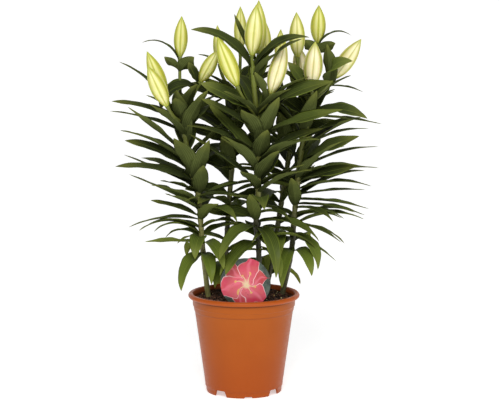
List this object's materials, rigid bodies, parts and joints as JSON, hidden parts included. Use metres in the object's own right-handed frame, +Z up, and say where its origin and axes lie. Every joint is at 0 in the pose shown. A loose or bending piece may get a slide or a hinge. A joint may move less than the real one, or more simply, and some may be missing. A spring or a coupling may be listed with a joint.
{
  "type": "potted lily",
  "caption": "Lily plants in bud in a round nursery pot: leafy upright stems with closed pale buds rise from dark soil, with a round picture label at the front of the rim.",
  "frame": {"origin": "On the ground under the pot's axis, which is the middle of the part's footprint", "axes": "+Z up along the pot's axis, +X to the right as seen from the front, +Y to the back"},
  "size_m": [0.4611, 0.3471, 0.666],
  "materials": {
    "terracotta_plastic": "satin",
    "peat": "matte",
    "leaf_green": "satin",
    "bud_cream": "satin",
    "bulb_scale": "satin",
    "label_card": "satin"
  },
  "bodies": {
    "root": {"pot": "terracotta_plastic", "soil": "peat", "label": "label_card", "stem_left": "leaf_green", "stem_front": "leaf_green", "stem_right": "leaf_green", "stem_back_left": "leaf_green", "stem_back_right": "leaf_green", "bulb_left": "bulb_scale", "bulb_front": "bulb_scale", "bulb_right": "bulb_scale", "bulb_back_left": "bulb_scale", "bulb_back_right": "bulb_scale", "bud_left_1": "bud_cream", "bud_left_2": "bud_cream", "bud_left_3": "bud_cream", "bud_left_4": "bud_cream", "bud_front_1": "bud_cream", "bud_front_2": "bud_cream", "bud_front_3": "bud_cream", "bud_front_4": "bud_cream", "bud_right_1": "bud_cream", "bud_right_2": "bud_cream", "bud_right_3": "bud_cream", "bud_back_left_1": "bud_cream", "bud_back_left_2": "bud_cream", "bud_back_left_3": "bud_cream", "bud_back_right_1": "bud_cream", "bud_back_right_2": "bud_cream", "bud_back_right_3": "bud_cream"}
  },
  "joints": []
}
